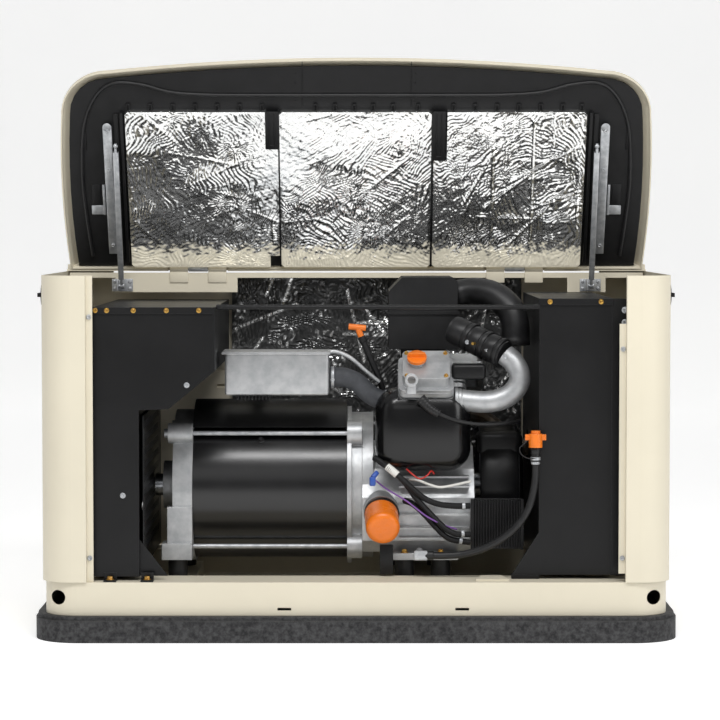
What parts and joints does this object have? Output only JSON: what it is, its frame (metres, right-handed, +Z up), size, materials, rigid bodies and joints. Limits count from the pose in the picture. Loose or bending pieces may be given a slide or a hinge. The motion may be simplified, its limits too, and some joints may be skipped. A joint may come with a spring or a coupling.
{
  "type": "home standby generator",
  "caption": "Air-cooled home standby generator, lid open and service panel off, with a lid on stays, side locks, alternator, V-twin engine and exhaust box on a base tray and pad.",
  "frame": {"origin": "centre of the mounting pad's underside", "axes": "+X along the length towards the exhaust end, +Y to the back with the service opening facing -Y, +Z up"},
  "size_m": [1.238, 0.638, 1.1293],
  "materials": {
    "pad_composite": "textured cast composite",
    "cream_paint": "satin powder coat",
    "black_paint": "fine texture powder coat",
    "foil_foam": "crinkled foil facing on foam",
    "zinc_steel": "bright zinc plate",
    "yellow_zinc": "yellow zinc plate",
    "black_plastic": "moulded, fine grain",
    "gloss_black": "smooth gloss",
    "rubber": "moulded rubber",
    "grey_rubber": "smooth extruded hose",
    "cast_aluminium": "sand cast, tumbled",
    "steel": "machined steel",
    "copper_winding": "varnished winding",
    "orange_plastic": "moulded gloss",
    "orange_paint": "gloss enamel",
    "filter_paper": "pleated paper",
    "exhaust_steel": "heat-tinted aluminised steel",
    "brass_plate": "machined brass"
  },
  "bodies": {
    "enclosure": {"mount_pad": "pad_composite", "base_tray": "cream_paint", "left_end_panel": "cream_paint", "right_end_panel": "cream_paint", "rear_panel": "cream_paint", "roof_cap": "cream_paint", "cross_bar": "black_paint", "rear_insulation": "foil_foam", "control_compartment": "black_paint", "intake_screen": "black_paint", "exhaust_box": "black_paint", "hinge_brackets": "zinc_steel", "stator_can": "black_paint", "alternator_hood": "black_paint", "stator_core": "copper_winding", "bearing_carrier": "cast_aluminium", "rear_bearing": "steel", "tie_rods": "zinc_steel", "engine_adapter": "cast_aluminium", "crankcase": "cast_aluminium", "cylinders": "cast_aluminium", "cylinder_heads": "cast_aluminium", "valve_covers": "cast_aluminium", "engine_shroud": "gloss_black", "cooling_duct": "black_paint", "oil_filter": "orange_paint", "dipstick_tube": "black_paint", "oil_cooler": "black_paint", "intake_pipe": "cast_aluminium", "mixer": "black_plastic", "air_box": "black_plastic", "air_filter": "filter_paper", "air_elbow": "rubber", "fuel_regulator": "cast_aluminium", "fuel_hose": "grey_rubber", "muffler": "exhaust_steel", "starter_motor": "black_paint", "drain_hose": "rubber", "rubber_mounts": "rubber", "controller": "black_plastic", "main_breaker": "black_plastic", "wiring": "rubber", "fasteners": "yellow_zinc"},
    "lid": {"lid_shell": "cream_paint", "lid_liner": "black_plastic", "lid_gasket": "rubber", "lid_insulation": "foil_foam", "lid_brackets": "zinc_steel"},
    "left_stay_arm": {"left_stay": "zinc_steel"},
    "right_stay_arm": {"right_stay": "zinc_steel"},
    "left_lock_knob": {"left_lock": "black_plastic"},
    "right_lock_knob": {"right_lock": "black_plastic"},
    "rotating_set": {"rotor": "steel", "crankshaft": "steel", "flywheel_fan": "cast_aluminium"},
    "fill_cap": {"oil_fill_cap": "orange_plastic"},
    "oil_dipstick": {"dipstick": "orange_plastic"},
    "oil_drain_cap": {"drain_cap": "orange_plastic"},
    "throttle": {"throttle_plate": "brass_plate"},
    "breaker_toggle": {"breaker_lever": "black_plastic"}
  },
  "joints": [
    {"name": "lid_hinge", "type": "hinge", "parent": "enclosure", "child": "lid", "pos_m": [0, 0.195, 0.704], "axis": [1, 0, 0], "range_deg": [0, 62]},
    {"name": "left_stay_pivot", "type": "hinge", "parent": "enclosure", "child": "left_stay_arm", "pos_m": [-0.488, 0.175, 0.67], "axis": [1, 0, 0], "range_deg": [0, 62]},
    {"name": "right_stay_pivot", "type": "hinge", "parent": "enclosure", "child": "right_stay_arm", "pos_m": [0.488, 0.175, 0.67], "axis": [1, 0, 0], "range_deg": [0, 62]},
    {"name": "left_lock_turn", "type": "hinge", "parent": "enclosure", "child": "left_lock_knob", "pos_m": [-0.604, -0.205, 0.661], "axis": [1, 0, 0], "range_deg": [0, 90]},
    {"name": "right_lock_turn", "type": "hinge", "parent": "enclosure", "child": "right_lock_knob", "pos_m": [0.604, -0.205, 0.661], "axis": [1, 0, 0], "range_deg": [0, 90]},
    {"name": "crank_spin", "type": "hinge", "parent": "enclosure", "child": "rotating_set", "pos_m": [0, 0, 0.273], "axis": [1, 0, 0], "continuous": true},
    {"name": "fill_cap_turn", "type": "hinge", "parent": "enclosure", "child": "fill_cap", "pos_m": [0.118, 0.00473, 0.27669], "axis": [0, -0.6157, 0.788], "range_deg": [0, 90]},
    {"name": "dipstick_slide", "type": "slide", "parent": "enclosure", "child": "oil_dipstick", "axis": [-0.3908, 0, 0.9205], "range_m": [0, 0.095]},
    {"name": "drain_cap_turn", "type": "hinge", "parent": "enclosure", "child": "oil_drain_cap", "pos_m": [0.344, -0.272, 0.39], "axis": [0, 0, 1], "range_deg": [0, 360]},
    {"name": "throttle_turn", "type": "hinge", "parent": "enclosure", "child": "throttle", "pos_m": [0.24526, -0.15205, 0.56547], "axis": [-0.5017, -0.865, 0], "range_deg": [-30, 50]},
    {"name": "breaker_switch", "type": "hinge", "parent": "enclosure", "child": "breaker_toggle", "pos_m": [-0.433, -0.0985, 0.54], "axis": [1, 0, 0], "range_deg": [-60, 0]}
  ],
  "couplings": [
    {"joint": "left_stay_pivot", "follows": "lid_hinge", "ratio": 1},
    {"joint": "right_stay_pivot", "follows": "lid_hinge", "ratio": 1}
  ]
}
